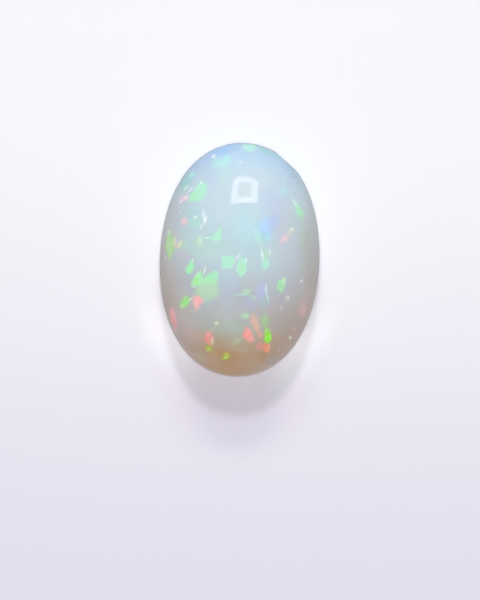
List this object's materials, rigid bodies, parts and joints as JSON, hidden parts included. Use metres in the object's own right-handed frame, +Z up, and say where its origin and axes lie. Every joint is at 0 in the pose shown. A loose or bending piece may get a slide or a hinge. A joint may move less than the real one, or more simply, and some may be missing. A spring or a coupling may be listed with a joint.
{
  "type": "polished opal cabochon",
  "caption": "Oval opal stone polished to a high dome, with a rounded back and a flat seat. Milky body, blue at one end and amber at the other, with angular flashes of colour.",
  "frame": {"origin": "centre of the flat seat that the stone rests on", "axes": "+Z up through the top of the dome, +Y along the stone's length towards its blue end, +X across its width"},
  "size_m": [0.0102, 0.015, 0.0061],
  "materials": {
    "opal": "polished milky opal, pale blue to amber along its length, with green, blue, orange and red flashes"
  },
  "bodies": {
    "root": {"opal_cabochon": "opal"}
  },
  "joints": []
}
